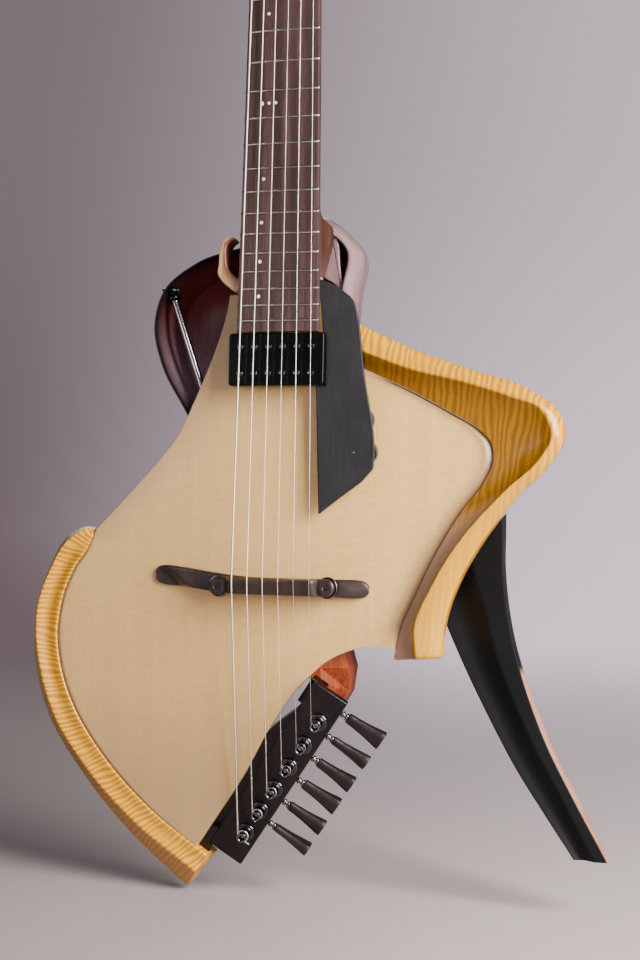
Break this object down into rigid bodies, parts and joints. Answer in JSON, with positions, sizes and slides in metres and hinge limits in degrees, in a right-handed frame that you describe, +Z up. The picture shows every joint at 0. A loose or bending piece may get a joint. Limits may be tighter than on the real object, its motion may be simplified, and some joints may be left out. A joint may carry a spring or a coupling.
{
  "type": "headless electric archtop guitar",
  "caption": "Headless semi-acoustic guitar with an open-rimmed arched top, a bowl back, a curved lap leg and geared tuners at the tail.",
  "frame": {"origin": "on the string line, level with the body's lowest point, 30 mm behind the plane of the fret tops, where a stand would carry the body", "axes": "+Z up along the neck, -Y out of the guitar's face towards the player's audience, +X to the treble side"},
  "size_m": [0.4235, 0.1037, 0.9118],
  "materials": {
    "spruce_top": "satin clear lacquer over fine straight grain",
    "flamed_maple": "gloss amber lacquer over flamed maple",
    "pale_maple": "satin clear lacquer",
    "mahogany": "satin, open grain",
    "rosewood": "oiled, dark brown",
    "bowl_rosewood": "gloss dark wine red",
    "black_lacquer": "gloss black",
    "ebony": "satin black",
    "bone": "polished bone",
    "chrome": "polished chrome",
    "steel": "bright drawn wire and rod",
    "black_steel": "black finished steel"
  },
  "bodies": {
    "root": {"neck": "mahogany", "fingerboard": "rosewood", "nut": "bone", "headpiece": "ebony", "truss_rod": "steel", "core_beam": "mahogany", "soundboard": "spruce_top", "left_rim": "flamed_maple", "right_rim": "flamed_maple", "neck_collar": "pale_maple", "bass_brace": "spruce_top", "treble_brace": "spruce_top", "back_bowl": "bowl_rosewood", "leg": "black_lacquer", "brace_rod": "steel", "rod_clamp": "black_steel", "rod_socket": "ebony", "control_plate": "ebony", "plate_block": "ebony", "pickup": "black_lacquer", "volume_pot": "black_steel", "tone_pot": "black_steel", "bridge_base": "rosewood", "bridge_stud_bass": "chrome", "bridge_stud_treble": "chrome", "tuner_plate": "rosewood", "plate_strut": "black_steel", "tail_tab": "black_steel", "output_jack": "chrome", "tuner_bracket_1": "chrome", "tuner_bracket_2": "chrome", "tuner_bracket_3": "chrome", "tuner_bracket_4": "chrome", "tuner_bracket_5": "chrome", "tuner_bracket_6": "chrome", "string_1": "steel", "string_2": "steel", "string_3": "steel", "string_4": "steel", "string_5": "steel", "string_6": "steel"},
    "saddle": {"saddle": "rosewood"},
    "bridge_wheel_bass": {"bridge_wheel_bass": "black_steel"},
    "bridge_wheel_treble": {"bridge_wheel_treble": "black_steel"},
    "volume_wheel": {"volume_wheel": "ebony"},
    "tone_wheel": {"tone_wheel": "ebony"},
    "tuner_knob_1": {"tuner_knob_1": "rosewood"},
    "tuner_post_1": {"tuner_post_1": "chrome"},
    "tuner_knob_2": {"tuner_knob_2": "rosewood"},
    "tuner_post_2": {"tuner_post_2": "chrome"},
    "tuner_knob_3": {"tuner_knob_3": "rosewood"},
    "tuner_post_3": {"tuner_post_3": "chrome"},
    "tuner_knob_4": {"tuner_knob_4": "rosewood"},
    "tuner_post_4": {"tuner_post_4": "chrome"},
    "tuner_knob_5": {"tuner_knob_5": "rosewood"},
    "tuner_post_5": {"tuner_post_5": "chrome"},
    "tuner_knob_6": {"tuner_knob_6": "rosewood"},
    "tuner_post_6": {"tuner_post_6": "chrome"}
  },
  "joints": [
    {"name": "saddle_lift", "type": "slide", "parent": "root", "child": "saddle", "axis": [0, -1, 0], "range_m": [-0.0026, 0.003], "deforming": ["string_1", "string_2", "string_3", "string_4", "string_5", "string_6"]},
    {"name": "bridge_wheel_bass_turn", "type": "hinge", "parent": "saddle", "child": "bridge_wheel_bass", "pos_m": [-0.04, -0.0233, 0.218], "axis": [0, -1, 0], "range_deg": [-1171, 1351]},
    {"name": "bridge_wheel_treble_turn", "type": "hinge", "parent": "saddle", "child": "bridge_wheel_treble", "pos_m": [0.039, -0.0233, 0.219], "axis": [0, -1, 0], "range_deg": [-1171, 1351]},
    {"name": "volume_turn", "type": "hinge", "parent": "root", "child": "volume_wheel", "pos_m": [0.0593, -0.0167, 0.3345], "axis": [0, -1, 0], "range_deg": [-150, 150]},
    {"name": "tone_turn", "type": "hinge", "parent": "root", "child": "tone_wheel", "pos_m": [0.062, -0.0167, 0.3125], "axis": [0, -1, 0], "range_deg": [-150, 150]},
    {"name": "tuner_knob_1_turn", "type": "hinge", "parent": "root", "child": "tuner_knob_1", "pos_m": [-0.01863, 0.00777, 0.05531], "axis": [0.8267, 0.1651, -0.5379], "continuous": true},
    {"name": "tuner_post_1_turn", "type": "hinge", "parent": "root", "child": "tuner_post_1", "pos_m": [-0.02347, -0.00304, 0.04455], "axis": [0.0601, -0.9764, -0.2074], "continuous": true},
    {"name": "tuner_knob_2_turn", "type": "hinge", "parent": "root", "child": "tuner_knob_2", "pos_m": [-0.00744, 0.00499, 0.07165], "axis": [0.8267, 0.1651, -0.5379], "continuous": true},
    {"name": "tuner_post_2_turn", "type": "hinge", "parent": "root", "child": "tuner_post_2", "pos_m": [-0.01228, -0.00582, 0.06089], "axis": [0.0601, -0.9764, -0.2074], "continuous": true},
    {"name": "tuner_knob_3_turn", "type": "hinge", "parent": "root", "child": "tuner_knob_3", "pos_m": [0.00375, 0.0022, 0.08799], "axis": [0.8267, 0.1651, -0.5379], "continuous": true},
    {"name": "tuner_post_3_turn", "type": "hinge", "parent": "root", "child": "tuner_post_3", "pos_m": [-0.00109, -0.00861, 0.07723], "axis": [0.0601, -0.9764, -0.2074], "continuous": true},
    {"name": "tuner_knob_4_turn", "type": "hinge", "parent": "root", "child": "tuner_knob_4", "pos_m": [0.01494, -0.00058, 0.10433], "axis": [0.8267, 0.1651, -0.5379], "continuous": true},
    {"name": "tuner_post_4_turn", "type": "hinge", "parent": "root", "child": "tuner_post_4", "pos_m": [0.01009, -0.01139, 0.09357], "axis": [0.0601, -0.9764, -0.2074], "continuous": true},
    {"name": "tuner_knob_5_turn", "type": "hinge", "parent": "root", "child": "tuner_knob_5", "pos_m": [0.02613, -0.00336, 0.12068], "axis": [0.8267, 0.1651, -0.5379], "continuous": true},
    {"name": "tuner_post_5_turn", "type": "hinge", "parent": "root", "child": "tuner_post_5", "pos_m": [0.02128, -0.01418, 0.10991], "axis": [0.0601, -0.9764, -0.2074], "continuous": true},
    {"name": "tuner_knob_6_turn", "type": "hinge", "parent": "root", "child": "tuner_knob_6", "pos_m": [0.03732, -0.00615, 0.13702], "axis": [0.8267, 0.1651, -0.5379], "continuous": true},
    {"name": "tuner_post_6_turn", "type": "hinge", "parent": "root", "child": "tuner_post_6", "pos_m": [0.03247, -0.01696, 0.12625], "axis": [0.0601, -0.9764, -0.2074], "continuous": true}
  ],
  "couplings": [
    {"joint": "bridge_wheel_bass_turn", "follows": "saddle_lift", "rad_per_m": 7854},
    {"joint": "bridge_wheel_treble_turn", "follows": "saddle_lift", "rad_per_m": 7854},
    {"joint": "tuner_post_1_turn", "follows": "tuner_knob_1_turn", "ratio": 0.055556},
    {"joint": "tuner_post_2_turn", "follows": "tuner_knob_2_turn", "ratio": 0.055556},
    {"joint": "tuner_post_3_turn", "follows": "tuner_knob_3_turn", "ratio": 0.055556},
    {"joint": "tuner_post_4_turn", "follows": "tuner_knob_4_turn", "ratio": 0.055556},
    {"joint": "tuner_post_5_turn", "follows": "tuner_knob_5_turn", "ratio": 0.055556},
    {"joint": "tuner_post_6_turn", "follows": "tuner_knob_6_turn", "ratio": 0.055556}
  ]
}
